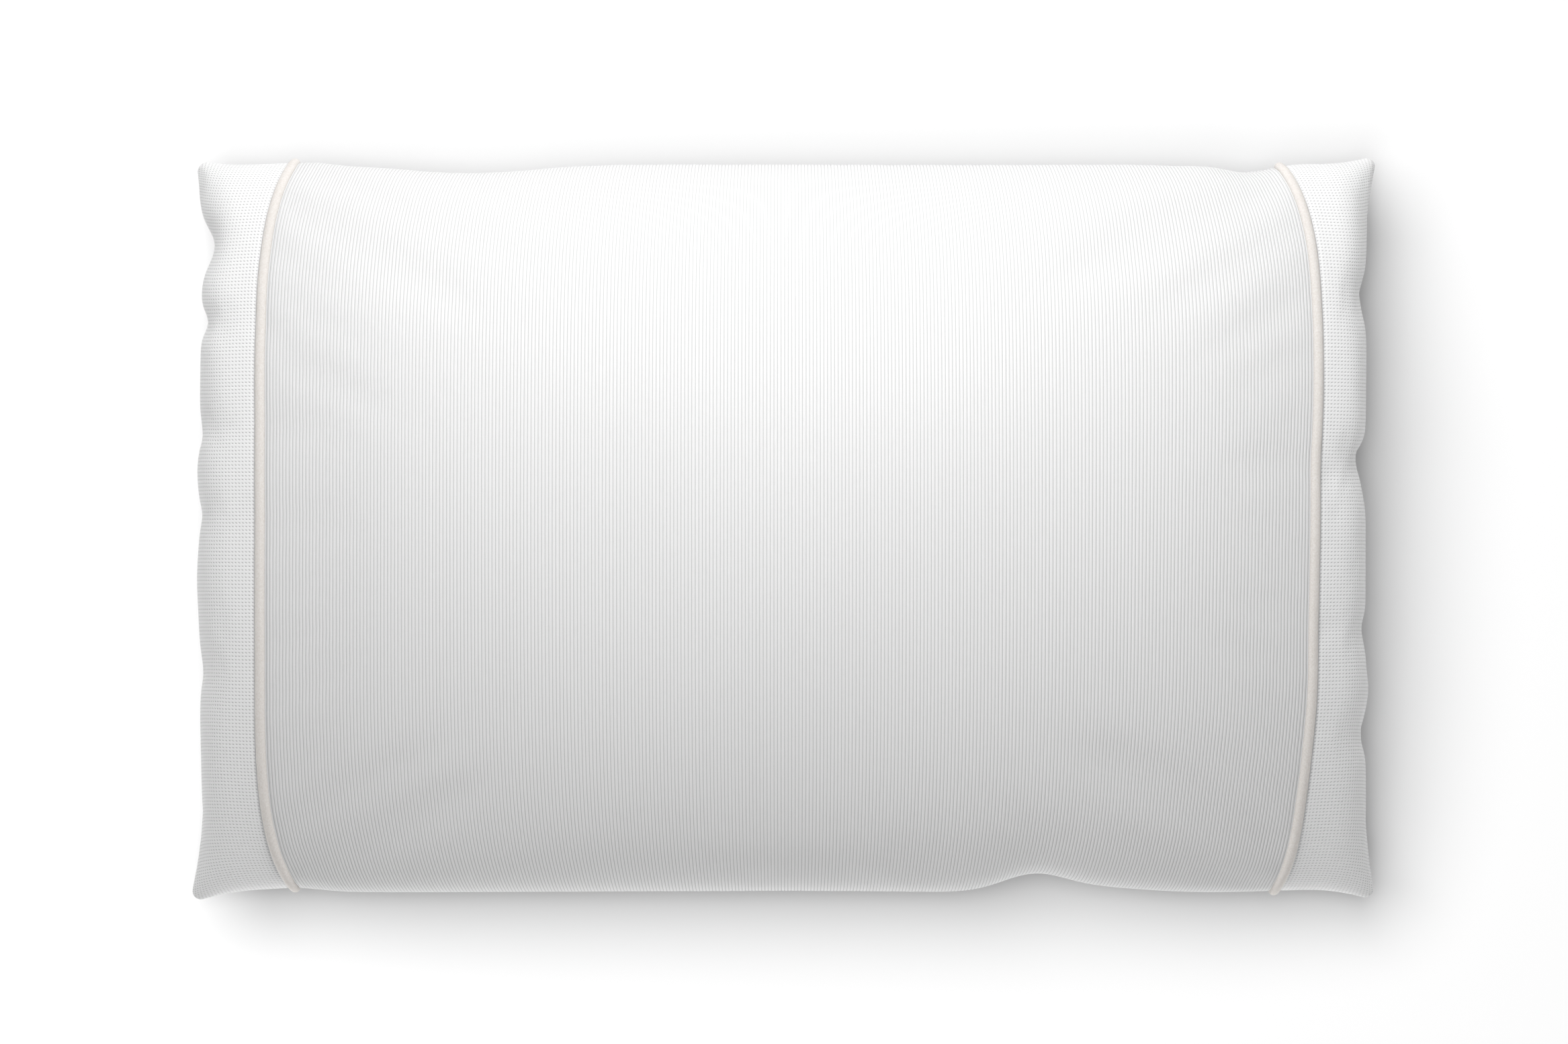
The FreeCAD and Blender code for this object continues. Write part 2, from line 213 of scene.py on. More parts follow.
def plain_form(s, theta, inset=(0.0, 0.0, 0.0)):
    """The pillow's form as designed: s is the share of the half length, theta the angle from the crown."""
    swell = np.sqrt(np.maximum(0.0, 1 - s**4))
    across = np.sin(theta)
    pulled = np.abs(s) ** SIDE_PULL_POWER
    widest_z = SEAM_Z + (WIDEST_Z - SEAM_Z) * (1 - s**8) * swell
    above = np.abs(np.cos(theta))
    below = (1 - np.abs(across) ** BELLY_POWER) ** 0.5
    rise = (CROWN_Z - WIDEST_Z - inset[2]) * swell * above
    drop = (BELLY_DROP - inset[2]) * swell * below
    z = widest_z + np.where(np.cos(theta) >= 0, rise, -drop)
    bulge = END_BULGE * s - END_PULL * s**END_PULL_POWER
    x = (HALF_LENGTH - inset[0]) * s + bulge * (1 - np.abs(across) ** BULGE_POWER)
    y = (HALF_WIDTH - inset[1] - 4 * SIDE_PULL * pulled * (1 - pulled)) * across
    return join(x, y, z)


def with_hollows(points, theta):
    """The long sides with their shallow hollows."""
    x, y, z = split(points)
    rim = np.exp(-np.abs(z - WIDEST_Z) / HOLLOW_TALL)
    for middle, depth, width, side in SIDE_HOLLOWS:
        amount = depth * bell(x, middle, width) * rim
        y = y - side * amount * smoothstep(0.75, 1.0, np.sin(theta) * side)
    return join(x, y, z)


def with_pinches(points, s, theta):
    """The end seams drawn in at their pinches, with a fold running in from each."""
    x, y, z = split(points)
    from_end = np.maximum(0.0, (1 - np.abs(s)) * HALF_LENGTH)
    run = from_end / FOLD_PEAK
    fold = run * np.exp(1 - run)
    for pinches, side in ((LEFT_PINCHES, -1), (RIGHT_PINCHES, 1)):
        here = (np.sign(s) == side) * np.exp(-((from_end / PINCH_REACH) ** 1.4))
        for middle, depth, width in pinches:
            spread = width * (1 + from_end / PINCH_SPREAD)
            pull = depth * bell(y, middle, spread)
            x = x - side * pull * here
            z = z - np.sign(np.cos(theta)) * pull * fold * (np.sign(s) == side) * FOLD_SHARE
    return join(x, y, z)


def with_drift(points, s):
    """The pipings' own small wanderings, carried by the fabric on both sides of them."""
    x, y, z = split(points)
    out = np.abs(s)
    near = smoothstep(DRIFT_FROM, PIPING_SHARE, out) * (1 - smoothstep(PIPING_SHARE, 1.0, out))
    for middle, shift, width, side in PIPING_DRIFT:
        x = x + side * shift * bell(y, middle, width) * near * (np.sign(s) == side)
    return join(x, y, z)


def with_puff(points, s, theta):
    """The mesh ends, puffed up between the piping and the end seam."""
    x, y, z = split(points)
    rise = PUFF * bell(np.abs(s), PUFF_SHARE, PUFF_WIDTH) * np.maximum(0.0, np.cos(theta)) ** 0.5
    return join(x, y, z + rise)


def with_lumps(points, s, theta):
    """The upper face, made slightly uneven by the fill."""
    x, y, z = split(points)
    room = np.sqrt(np.maximum(0.0, 1 - s**4)) * np.maximum(0.0, np.cos(theta)) ** 0.5
    for height, along, across, start in LUMPS:
        z = z + height * room * np.sin(x / along + start) * np.cos(y / across - 2 * start)
    return join(x, y, z)


def with_corners(points):
    """The four corners, rounded as seen from above, and pushed out where fill has gone into them."""
    x, y, z = split(points)
    far = np.abs(x / HALF_LENGTH) ** CORNER_POWER + np.abs(y / HALF_WIDTH) ** CORNER_POWER
    shrink = np.maximum(1.0, far ** (1 / CORNER_POWER))
    x, y = x / shrink, y / shrink
    for side_along, side_across, along, across in EARS:
        near_x = bell(x, side_along * HALF_LENGTH, EAR_REACH)
        near = near_x * bell(y, side_across * HALF_WIDTH, EAR_REACH)
        x = x + side_along * along * near
        y = y + side_across * across * near
    return join(x, y, z)


def cover_form(s, theta):
    """The stuffed cover before its cloth settles."""
    points = with_drift(plain_form(s, theta), s)
    points = with_pinches(with_hollows(points, theta), s, theta)
    return with_corners(with_lumps(with_puff(points, s, theta), s, theta))


def valley(points, theta):
    """Draws the rear seam in to the zip, between the fuller fabric above and below it."""
    x, y, z = split(points)
    near = bell(z, SEAM_Z, VALLEY_TALL) * smoothstep(0.0, 0.2, np.sin(theta))
    along = 1 - smoothstep(*VALLEY_FADE, np.abs(x) - ZIP_REACH)
    amount = np.maximum(0.0, y - ZIP_FACE_Y - VALLEY_CLEAR) * near * along
    return join(x, y - amount, z)


def seam_angle(s, height):
    """Angle from the crown, at the rear, where the lower form is at this height."""
    swell = np.sqrt(np.maximum(1e-9, 1 - s**4))
    widest_z = SEAM_Z + (WIDEST_Z - SEAM_Z) * (1 - s**8) * swell
    share = np.clip((widest_z - height) / (BELLY_DROP * swell), 0.0, 1.0)
    return math.pi - np.arcsin((1 - share**2) ** (1 / BELLY_POWER))


START_ANGLE = float(seam_angle(0.0, SEAM_Z))
PER_SHARE = 1.08 * HALF_LENGTH  # distance along the crown for a whole share, near the piping
REAR_SEAM_HALF = HALF_LENGTH + END_BULGE * (1 - math.sin(START_ANGLE) ** BULGE_POWER)


def ring_angles(count):
    """Angles round the girth from the rear seam over the crown, the front and the belly, evenly spaced."""
    theta = np.linspace(START_ANGLE, START_ANGLE - 2 * math.pi, 4001)
    girth = plain_form(np.zeros_like(theta), theta)
    steps = np.linalg.norm(np.diff(girth, axis=0), axis=1)
    length = np.concatenate([[0.0], np.cumsum(steps)])
    even = np.linspace(0.0, length[-1], count)
    return np.interp(even, length, theta), even


CLOTH_ANGLES = ring_angles(CLOTH_AROUND + 1)[0]


def grid_faces(rows, columns, round_rows=False, round_columns=False):
    """Quads of a grid of points numbered row by row, open or joined round in each direction."""
    i, j = np.meshgrid(
        np.arange(rows if round_rows else rows - 1),
        np.arange(columns if round_columns else columns - 1),
        indexing="ij",
    )
    next_i = (i + 1) % rows
    next_j = (j + 1) % columns
    corners = [i * columns + j, next_i * columns + j, next_i * columns + next_j, i * columns + next_j]
    return np.stack(corners, axis=-1).reshape(-1, 4)


def end_caps(rows, columns):
    """Quads across both ends of a tube whose grid of points is joined round, with an even count round it."""
    near = np.arange(columns // 2)
    far = columns - 1 - near
    first = np.stack([near[:-1], near[1:], far[1:], far[:-1]], axis=1)
    return np.concatenate([first, first[:, ::-1] + (rows - 1) * columns])


def make_mesh(name, points, faces, uv=None, uv_faces=None, smooth=True):
    """A mesh object from arrays of points and quads. uv_faces says which uv each quad's corners take."""
    mesh = bpy.data.meshes.new(name)
    points = points.reshape(-1, 3)
    mesh.vertices.add(len(points))
    mesh.vertices.foreach_set("co", points.astype(np.float32).ravel())
    mesh.loops.add(faces.size)
    mesh.loops.foreach_set("vertex_index", faces.astype(np.int32).ravel())
    mesh.polygons.add(len(faces))
    mesh.polygons.foreach_set("loop_start", np.arange(0, faces.size, 4, dtype=np.int32))
    mesh.polygons.foreach_set("use_smooth", np.full(len(faces), smooth))
    mesh.update(calc_edges=True)
    if uv is not None:
        chosen = uv.reshape(-1, 2)[(faces if uv_faces is None else uv_faces).ravel()]
        mesh.uv_layers.new(name="fabric").data.foreach_set("uv", chosen.astype(np.float32).ravel())
    mesh.validate()
    piece = bpy.data.objects.new(name, mesh)
    bpy.context.scene.collection.objects.link(piece)
    return piece


def settle_cover():
    """Lets the cover settle as cloth over its fill, held at its seams. Gives how far each point moves."""
    sigma = np.linspace(-math.pi / 2, math.pi / 2, CLOTH_ALONG)
    s, theta = np.meshgrid(np.sin(sigma), CLOTH_ANGLES[:-1])
    start = cover_form(s, theta)
    cover = make_mesh("settling", start, grid_faces(CLOTH_AROUND, CLOTH_ALONG, round_rows=True))
    column_step = np.gradient(sigma)[0]
    at_piping = np.abs(np.abs(sigma) - math.asin(PIPING_SHARE)) < column_step / 2
    held = np.zeros((CLOTH_AROUND, CLOTH_ALONG), dtype=bool)
    held[:, at_piping] = True
    held[:, [0, -1]] = True
    held[0] = True
    held |= start[..., 2] < FLOOR_HOLD
    group = cover.vertex_groups.new(name="held")
    group.add([int(k) for k in np.flatnonzero(held)], 1.0, "REPLACE")
    cloth = cover.modifiers.new("cloth", "CLOTH")
    cloth.point_cache.frame_end = CLOTH_FRAMES
    cloth.collision_settings.use_collision = False
    cloth.settings.quality = 5
    cloth.settings.mass = 0.3
    cloth.settings.tension_stiffness = 40
    cloth.settings.compression_stiffness = 40
    cloth.settings.bending_stiffness = 0.3
    cloth.settings.shrink_min = -0.003  # a little more fabric than the form needs
    cloth.settings.use_pressure = True
    cloth.settings.uniform_pressure_force = 2
    cloth.settings.vertex_group_mass = group.name
    cloth.settings.effector_weights.gravity = 0
    for number in range(1, CLOTH_FRAMES + 1):
        bpy.context.scene.frame_set(number)
    settled = cover.evaluated_get(bpy.context.evaluated_depsgraph_get()).to_mesh()
    flat = np.empty(3 * len(settled.vertices), dtype=np.float32)
    settled.vertices.foreach_get("co", flat)
    moved = flat.reshape(start.shape).astype(float) - start
    bpy.context.scene.frame_set(1)
    bpy.data.objects.remove(cover)
    distance = np.linalg.norm(moved, axis=-1, keepdims=True)
    return moved * CLOTH_CAP / (CLOTH_CAP + distance)


def spline_weights(t):
    """Weights of four neighbours in a row for a smooth cubic spline."""
    return (
        (1 - t) ** 3 / 6,
        (3 * t**3 - 6 * t**2 + 4) / 6,
        (-3 * t**3 + 3 * t**2 + 3 * t + 1) / 6,
        t**3 / 6,
    )


def cloth_offset(s, theta):
    """The settled cloth's movement at any place on the cover."""
    column = (np.arcsin(np.clip(s, -1.0, 1.0)) / math.pi + 0.5) * (CLOTH_ALONG - 1)
    turned = np.interp(-theta, -CLOTH_ANGLES, np.arange(CLOTH_AROUND + 1))
    i, j = np.floor(turned).astype(int), np.floor(column).astype(int)
    offset = np.zeros((*s.shape, 3))
    for k, row_weight in enumerate(spline_weights(turned - i)):
        for m, column_weight in enumerate(spline_weights(column - j)):
            near = cloth_field[(i + k - 1) % CLOTH_AROUND, np.clip(j + m - 1, 0, CLOTH_ALONG - 1)]
            offset += near * (row_weight * column_weight)[..., None]
    return offset


def surface_at(s, theta):
    """Points of the finished cover surface, before any fabric detail."""
    points = valley(cover_form(s, theta) + cloth_offset(s, theta), theta)
    points[..., 2] = np.maximum(points[..., 2], 0.0)
    return points


def normals_of(points):
    """Outward unit normals of a grid whose rows go around and whose columns go along."""
    normal = np.cross(np.gradient(points, axis=0), np.gradient(points, axis=1))
    return normal / np.maximum(1e-12, np.linalg.norm(normal, axis=-1, keepdims=True))


def edge_drop(distance, depth):
    """How far a panel drops at this distance from its sewn edge, and depth at the edge itself."""
    near = np.clip(1 - distance / EDGE_ROLL, 0.0, 1.0)
    return depth * (1 - np.sqrt(1 - near**2))


def turned_in(edge, slot, share):
    """A panel's edge at the rear seam, turned in towards the tape, or into the closed seam beyond it."""
    ring = edge.copy()
    to_tape = ZIP_FACE_Y + LIP_CLEAR - edge[:, 1]
    ring[:, 1] += share * (to_tape * slot - LIP_TUCK * (1 - slot))
    return ring


def centre_panel():
    """The ribbed panel: one tube of fabric round the pillow, open at the zip, with turned-in lips."""
    share = np.append((np.arange(RIBS)[:, None] + np.array(RIB_STEPS)).ravel(), RIBS) / RIBS
    s = PIPING_SHARE * (2 * share - 1)
    slot = 1 - smoothstep(*LIPS_CLOSE, REAR_SEAM_HALF * np.abs(s) - ZIP_REACH)
    upper = seam_angle(s, SEAM_Z + SLOT_HALF * slot)
    lower = seam_angle(s, SEAM_Z - SLOT_HALF * slot) - 2 * math.pi
    down = np.linspace(0.0, 1.0, RIB_ROWS)[:, None]
    theta = upper - down * (upper - lower)
    points = surface_at(np.broadcast_to(s, theta.shape), theta)
    phase = share * RIBS
    groove = bell((phase + 0.5) % 1.0 - 0.5, 0.0, GROOVE_WIDE)
    from_edge = PER_SHARE * (PIPING_SHARE - np.abs(s))
    flat_groove = RIB_DEPTH * groove * np.clip(from_edge / EDGE_ROLL, 0.0, 1.0)
    points = points - normals_of(points) * (flat_groove + edge_drop(from_edge, RIB_EDGE_DROP))[None, :, None]
    top = [turned_in(points[0], slot, part) for part in (1.0, 0.35)]
    bottom = [turned_in(points[-1], slot, part) for part in (0.35, 1.0)]
    points = np.stack([*top, *points, *bottom])
    girth = ring_angles(2)[1][-1] / MM
    v = np.concatenate([[-2, -1], down.ravel() * girth, [girth + 1, girth + 2]])
    uv = np.stack(np.broadcast_arrays(phase[None, :], v[:, None]), axis=-1)
    return make_mesh("centre_panel", points, grid_faces(*points.shape[:2]), uv)


def end_panel(name, side):
    """A mesh end: from the piping round to the end seam and back along the lower face."""
    rows, columns = PANEL_ROWS, PANEL_COLUMNS
    angles, length = ring_angles(rows + 1)
    sigma = np.linspace(math.asin(PIPING_SHARE), math.pi / 2, columns)
    s, theta = np.meshgrid(np.sin(sigma) * side, angles[:-1])
    points = surface_at(s, theta)
    steps = np.linalg.norm(np.diff(points, axis=1), axis=2)
    run = np.concatenate([np.zeros((rows, 1)), steps.cumsum(axis=1)], axis=1)
    points = points - side * normals_of(points) * edge_drop(run, MESH_EDGE_DROP)[..., None]
    run = np.concatenate([run, run[:1]])
    uv = np.stack(np.broadcast_arrays(run / MM, length[:, None] / MM), axis=-1)
    faces = grid_faces(rows, columns, round_rows=True)
    uv_faces = grid_faces(rows + 1, columns)
    if side < 0:
        faces, uv_faces = faces[:, ::-1], uv_faces[:, ::-1]
    return make_mesh(name, points, faces, uv, uv_faces)


def piping(name, side):
    """A closed round of piping, on the line between the ribbed panel and the mesh."""
    rows, columns = PANEL_ROWS, 16
    angles, length = ring_angles(rows + 1)
    theta = angles[:-1]
    s = np.full(rows, PIPING_SHARE * side)
    step = 0.004
    centre = surface_at(s, theta)
    ahead = surface_at(s, theta + step) - surface_at(s, theta - step)
    beside = surface_at(s + step, theta) - surface_at(s - step, theta)
    outward = np.cross(beside, ahead)
    outward /= np.linalg.norm(outward, axis=1, keepdims=True)
    across = np.cross(outward, ahead)
    across /= np.linalg.norm(across, axis=1, keepdims=True)
    angle = np.linspace(0.0, 2 * math.pi, columns + 1)
    ring = angle[:-1, None]
    centre = centre - outward * PIPING_SINK
    centre[:, 2] = np.maximum(centre[:, 2], PIPING_R)
    points = centre[:, None, :] + PIPING_R * (
        np.cos(ring) * across[:, None, :] + np.sin(ring) * outward[:, None, :]
    )
    around = angle * PIPING_R / MM
    uv = np.stack(np.broadcast_arrays(length[:, None] / MM, around[None, :]), axis=-1)
    faces = grid_faces(rows, columns, round_rows=True, round_columns=True)
    return make_mesh(name, points, faces, uv, grid_faces(rows + 1, columns + 1))


def inner_form(name, inset):
    """A closed soft form inside the cover: the liner, or the fill in it."""
    rows, columns = 120, 90
    sigma = np.linspace(-math.pi / 2, math.pi / 2, columns)
    s, theta = np.meshgrid(np.sin(sigma), ring_angles(rows + 1)[0][:-1])
    return make_mesh(name, plain_form(s, theta, inset), grid_faces(rows, columns, round_rows=True))


def zip_tape(name, node, side):
    """One woven tape, with a bead along its inner edge. The two tapes close up past the last teeth."""
    low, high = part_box(node)
    middle_y = (low[1] + high[1]) / 2
    half_thick = (high[1] - low[1]) / 2
    inner_z, outer_z = (low[2], high[2]) if side > 0 else (high[2], low[2])
    x = np.linspace(low[0], high[0], TAPE_COLUMNS)
    closed = smoothstep(*TAPES_CLOSE, np.abs(x) - ZIP_REACH)
    inner = inner_z + (SEAM_Z + side * TAPE_GAP - inner_z) * closed
    bead = inner + side * 2 * TAPE_BEAD
    profile = (
        (half_thick, outer_z),
        (half_thick, bead),
        (half_thick + TAPE_BEAD, (inner + bead) / 2),
        (half_thick, inner),
        (-half_thick, inner),
        (-half_thick - TAPE_BEAD, (inner + bead) / 2),
        (-half_thick, bead),
        (-half_thick, outer_z),
    )
    sway = TAPE_SWAY * np.sin(x / TAPE_WAVE + side)
    points = np.stack([join(x, middle_y + out + sway, z) for out, z in profile], axis=1)
    size = points.shape[:2]
    faces = np.concatenate([grid_faces(*size, round_columns=True), end_caps(*size)])
    return make_mesh(name, points, faces[:, ::side], smooth=False)


def care_label():
    """A blank satin label, folded in half, whose two layers lie on the lower face below the rear seam."""
    rows, columns = 25, 17
    theta = np.radians(np.linspace(*LABEL_ANGLES, rows))[:, None]
    x = np.linspace(*LABEL_X, columns)[None, :]
    s = x / (HALF_LENGTH + END_BULGE * (1 - np.sin(theta) ** BULGE_POWER))
    face = surface_at(s, np.broadcast_to(theta, s.shape))
    out = -normals_of(face)
    curl = LABEL_CURL * np.linspace(0.0, 1.0, rows)[:, None, None] ** 3
    outer, inner = (face + out * (layer + curl) for layer in LABEL_LAYERS)
    fold = (outer[-1:] + inner[-1:]) / 2 - np.array([0.0, 0.0, LABEL_LAYERS[1]])
    points = np.concatenate([outer, fold, inner[::-1]])
    return make_mesh("care_label_sewn", points, grid_faces(*points.shape[:2])[:, ::-1])


def lip_stitches(name, side):
    """A row of stitches on one lip of the zip opening."""
    count = int(2 * ZIP_REACH / STITCH_PITCH)
    x = (np.arange(count) + 0.5) * STITCH_PITCH - ZIP_REACH
    share = x / REAR_SEAM_HALF
    height = SEAM_Z + side * (SLOT_HALF + STITCH_FROM_LIP)
    centre = surface_at(share, seam_angle(share, height)) + np.array([0.0, STITCH_RAISE * STITCH_R, 0.0])
    along = np.linspace(-1.0, 1.0, 6)
    ring = np.linspace(2 * math.pi, 0.0, 7)[:-1]
    radius = STITCH_R * np.sqrt(1 - (0.97 * along) ** 2)
    size = (len(along), len(ring))
    stitch_faces = np.concatenate([grid_faces(*size, round_columns=True), end_caps(*size)])
    pieces = []
    faces = []
    for k, middle in enumerate(centre):
        x = middle[0] + along[:, None] * STITCH_LONG / 2
        y = middle[1] + radius[:, None] * np.cos(ring)
        z = middle[2] + radius[:, None] * np.sin(ring)
        pieces.append(join(x, y, z))
        faces.append(stitch_faces + k * along.size * ring.size)
    return make_mesh(name, np.stack(pieces), np.concatenate(faces))


class Nodes:
    """A material's node tree, with short ways to add and join nodes."""

    def __init__(self, name, color, roughness):
        self.material = bpy.data.materials.new(name)
        self.material.use_nodes = True
        self.tree = self.material.node_tree
        self.shader = self.tree.nodes["Principled BSDF"]
        self.shader.inputs["Base Color"].default_value = (*color, 1.0)
        self.shader.inputs["Roughness"].default_value = roughness
        self.material.diffuse_color = (*color, 1.0)

    def add(self, kind, **settings):
        node = self.tree.nodes.new(kind)
        for name, value in settings.items():
            setattr(node, name, value)
        return node

    def join(self, source, target):
        self.tree.links.new(source, target)

    def math(self, operation, *values):
        """A Math node. Each value is a number or a socket."""
        node = self.add("ShaderNodeMath", operation=operation)
        for socket, value in zip(node.inputs, values):
            if isinstance(value, (int, float)):
                socket.default_value = value
            else:
                self.join(value, socket)
        return node.outputs[0]

    def from_middle(self, value, pitch, start=0.0):
        """How far a value is from the nearest multiple of pitch, from -0.5 to 0.5 pitches."""
        share = self.math("ADD", self.math("DIVIDE", value, pitch), 0.5 + start)
        return self.math("SUBTRACT", self.math("FRACT", share), 0.5)

    def hump(self, off, width):
        """1 where off is 0, falling smoothly to 0 by about twice the width."""
        ratio = self.math("DIVIDE", off, width)
        return self.math("EXPONENT", self.math("MULTIPLY", self.math("MULTIPLY", ratio, ratio), -1.0))

    def fabric_axes(self):
        """The fabric's own two directions, from its UV map."""
        uv = self.add("ShaderNodeUVMap", uv_map="fabric")
        axes = self.add("ShaderNodeSeparateXYZ")
        self.join(uv.outputs["UV"], axes.inputs[0])
        return axes.outputs["X"], axes.outputs["Y"]

    def object_axes(self):
        """The object's own three directions, in metres."""
        axes = self.add("ShaderNodeSeparateXYZ")
        self.join(self.add("ShaderNodeTexCoord").outputs["Object"], axes.inputs[0])
        return axes.outputs["X"], axes.outputs["Y"], axes.outputs["Z"]

    def noise(self, scale, detail=3.0):
        node = self.add("ShaderNodeTexNoise")
        node.inputs["Scale"].default_value = scale
        node.inputs["Detail"].default_value = detail
        self.join(self.add("ShaderNodeTexCoord").outputs["Object"], node.inputs["Vector"])
        return node.outputs["Fac"]

    def color_by(self, value, stops):
        """Colours the surface by a value, through (value, color) stops."""
        node = self.add("ShaderNodeValToRGB")
        while len(node.color_ramp.elements) < len(stops):
            node.color_ramp.elements.new(0.5)
        for element, (position, color) in zip(node.color_ramp.elements, stops):
            element.position = position
            element.color = (*color, 1.0)
        self.join(value, node.inputs["Fac"])
        self.join(node.outputs["Color"], self.shader.inputs["Base Color"])

    def bump(self, height, distance, strength=1.0):
        node = self.add("ShaderNodeBump")
        node.inputs["Distance"].default_value = distance
        node.inputs["Strength"].default_value = strength
        self.join(height, node.inputs["Height"])
        self.join(node.outputs["Normal"], self.shader.inputs["Normal"])

    def sheen(self, weight, roughness=0.5):
        self.shader.inputs["Sheen Weight"].default_value = weight
        self.shader.inputs["Sheen Roughness"].default_value = roughness


def gray(level, warmth=0.0):
    """A grey, made warmer by adding red and taking blue."""
    return (level + warmth, level, level - warmth)


def ribbed_knit():
    """White jersey with fine ribs: the narrow groove between ribs, and a faint one down each rib, are
    painted grey as shade.
    """
    m = Nodes("ribbed_knit", gray(0.88), 0.85)
    m.sheen(0.1)
    rib, _ = m.fabric_axes()
    groove = m.hump(m.from_middle(rib, 1.0), 0.16)
    wale = m.hump(m.from_middle(rib, 1.0, 0.5), 0.12)
    grain = m.noise(1300.0)
    shade = m.math("ADD", groove, m.math("MULTIPLY", wale, 0.36))
    tone = m.math("ADD", shade, m.math("MULTIPLY", m.math("SUBTRACT", grain, 0.5), 0.25))
    # Painted shade: the grooves and the dip down each rib are coloured darker, as the shade in them would
    # be.
    m.color_by(tone, ((0.0, gray(0.91)), (0.35, gray(0.85)), (1.0, gray(0.64))))
    m.bump(m.math("SUBTRACT", m.math("MULTIPLY", grain, 0.4), wale), 0.1 * MM, 0.5)
    return m.material


def air_mesh():
    """White spacer mesh: square rows of small slanted holes between rounded yarns, the holes painted grey as
    shade.
    """
    m = Nodes("air_mesh", gray(0.9), 0.8)
    m.sheen(0.1)
    u, v = m.fabric_axes()
    along = m.from_middle(u, MESH_PITCH)
    across = m.from_middle(v, MESH_PITCH)
    slanted = m.math("ADD", across, m.math("MULTIPLY", along, 0.35))
    hole = m.math("MULTIPLY", m.hump(along, 0.33), m.hump(slanted, 0.19))
    grain = m.noise(1500.0)
    tone = m.math("ADD", hole, m.math("MULTIPLY", m.math("SUBTRACT", grain, 0.5), 0.2))
    # Painted shade: each hole is coloured grey, as the shade inside it would be.
    m.color_by(tone, ((0.0, gray(0.98)), (0.35, gray(0.93)), (1.0, gray(0.52))))
    m.bump(m.math("SUBTRACT", m.math("MULTIPLY", grain, 0.2), hole), 0.35 * MM, 0.6)
    return m.material


def piping_knit():
    """Cream knit cut on the bias, so that its fine wales run aslant round the cord."""
    m = Nodes("piping_knit", gray(0.8, 0.035), 0.85)
    m.sheen(0.15)
    u, v = m.fabric_axes()
    slant = m.math("ADD", u, m.math("MULTIPLY", v, 0.8))
    wale = m.math("ABSOLUTE", m.from_middle(slant, 0.9))
    grain = m.noise(900.0)
    tone = m.math("ADD", wale, grain)
    m.color_by(tone, ((0.3, gray(0.68, 0.05)), (0.75, gray(0.79, 0.04)), (1.0, gray(0.86, 0.03))))
    m.bump(m.math("ADD", wale, m.math("MULTIPLY", grain, 0.5)), 0.15 * MM, 0.5)
    return m.material


def woven(name, color, pitch, relief):
    """A plain weave, over and under in both directions."""
    m = Nodes(name, color, 0.85)
    x, y, z = m.object_axes()
    turn = math.pi / pitch
    over = m.math("SINE", m.math("MULTIPLY", x, turn))
    under = m.math("SINE", m.math("MULTIPLY", m.math("ADD", y, z), turn))
    height = m.math("MULTIPLY", over, under)
    level = m.math("ADD", m.math("MULTIPLY", height, 0.5), 0.5)
    darker = tuple(0.82 * part for part in color)
    m.color_by(level, ((0.1, darker), (0.8, color)))
    m.bump(level, relief, 0.8)
    return m.material


def fibre():
    """Loose polyester fibre."""
    m = Nodes("fibre", gray(0.93), 1.0)
    m.sheen(0.4)
    wisps = m.noise(180.0, 8.0)
    m.color_by(wisps, ((0.3, gray(0.82)), (0.7, gray(0.95))))
    m.bump(wisps, 1.5 * MM)
    return m.material


def nylon():
    """Moulded white nylon of the zip's teeth."""
    m = Nodes("zip_teeth", gray(0.86), 0.35)
    flow = m.noise(700.0)
    m.color_by(flow, ((0.3, gray(0.82)), (0.7, gray(0.89))))
    m.bump(flow, 0.04 * MM, 0.4)
    return m.material


def enamel():
    """White enamel on the slider, its pull and the stops, worn a little unevenly."""
    m = Nodes("slider_metal", gray(0.84), 0.28)
    m.shader.inputs["Coat Weight"].default_value = 0.5
    m.shader.inputs["Coat Roughness"].default_value = 0.1
    wear = m.noise(420.0, 5.0)
    m.color_by(wear, ((0.28, gray(0.79)), (0.42, gray(0.84)), (0.8, gray(0.88))))
    m.bump(wear, 0.03 * MM, 0.5)
    return m.material


def satin():
    """Blank white satin ribbon: fine threads along it, with a soft shine."""
    m = Nodes("label_satin", gray(0.9), 0.42)
    x, _, _ = m.object_axes()
    thread = m.math("ABSOLUTE", m.from_middle(x, 0.35 * MM))
    m.color_by(thread, ((0.0, gray(0.84)), (0.4, gray(0.92))))
    m.bump(thread, 0.05 * MM, 0.6)
    m.shader.inputs["Anisotropic"].default_value = 0.4
    return m.material


def floor_material():
    m = Nodes("floor", gray(0.95), 0.95)
    m.shader.inputs["Specular IOR Level"].default_value = 0.0
    return m.material


def make_floor():
    half = 6.0
    corners = np.array([[-half, -half, 0], [half, -half, 0], [half, half, 0], [-half, half, 0]])
    floor = make_mesh("floor", corners, np.array([[0, 1, 2, 3]]), smooth=False)
    floor.data.materials.append(floor_material())
    return floor


def make_camera():
    """A long lens straight above the pillow."""
    data = bpy.data.cameras.new("camera")
    data.sensor_width = 36.0
    data.lens = 135.0
    camera = bpy.data.objects.new("camera", data)
    distance = VIEW_WIDTH * data.lens / data.sensor_width
    camera.location = (VIEW_CENTRE[0], VIEW_CENTRE[1], WIDEST_Z + distance)
    bpy.context.scene.collection.objects.link(camera)
    bpy.context.scene.camera = camera


def soft_light(name, direction, distance, radius, strength, lit):
    """A round lamp that lights one collection. strength is its irradiance at the origin, over pi."""
    data = bpy.data.lights.new(name, "AREA")
    data.shape = "DISK"
    data.size = 2 * radius
    data.energy = strength * math.pi**2 * distance**2
    lamp = bpy.data.objects.new(name, data)
    way = Vector(direction).normalized()
    lamp.location = way * distance
    lamp.rotation_euler = (-way).to_track_quat("-Z", "Y").to_euler()
    lamp.visible_camera = False
    bpy.context.scene.collection.objects.link(lamp)
    lamp.light_linking.receiver_collection = lit


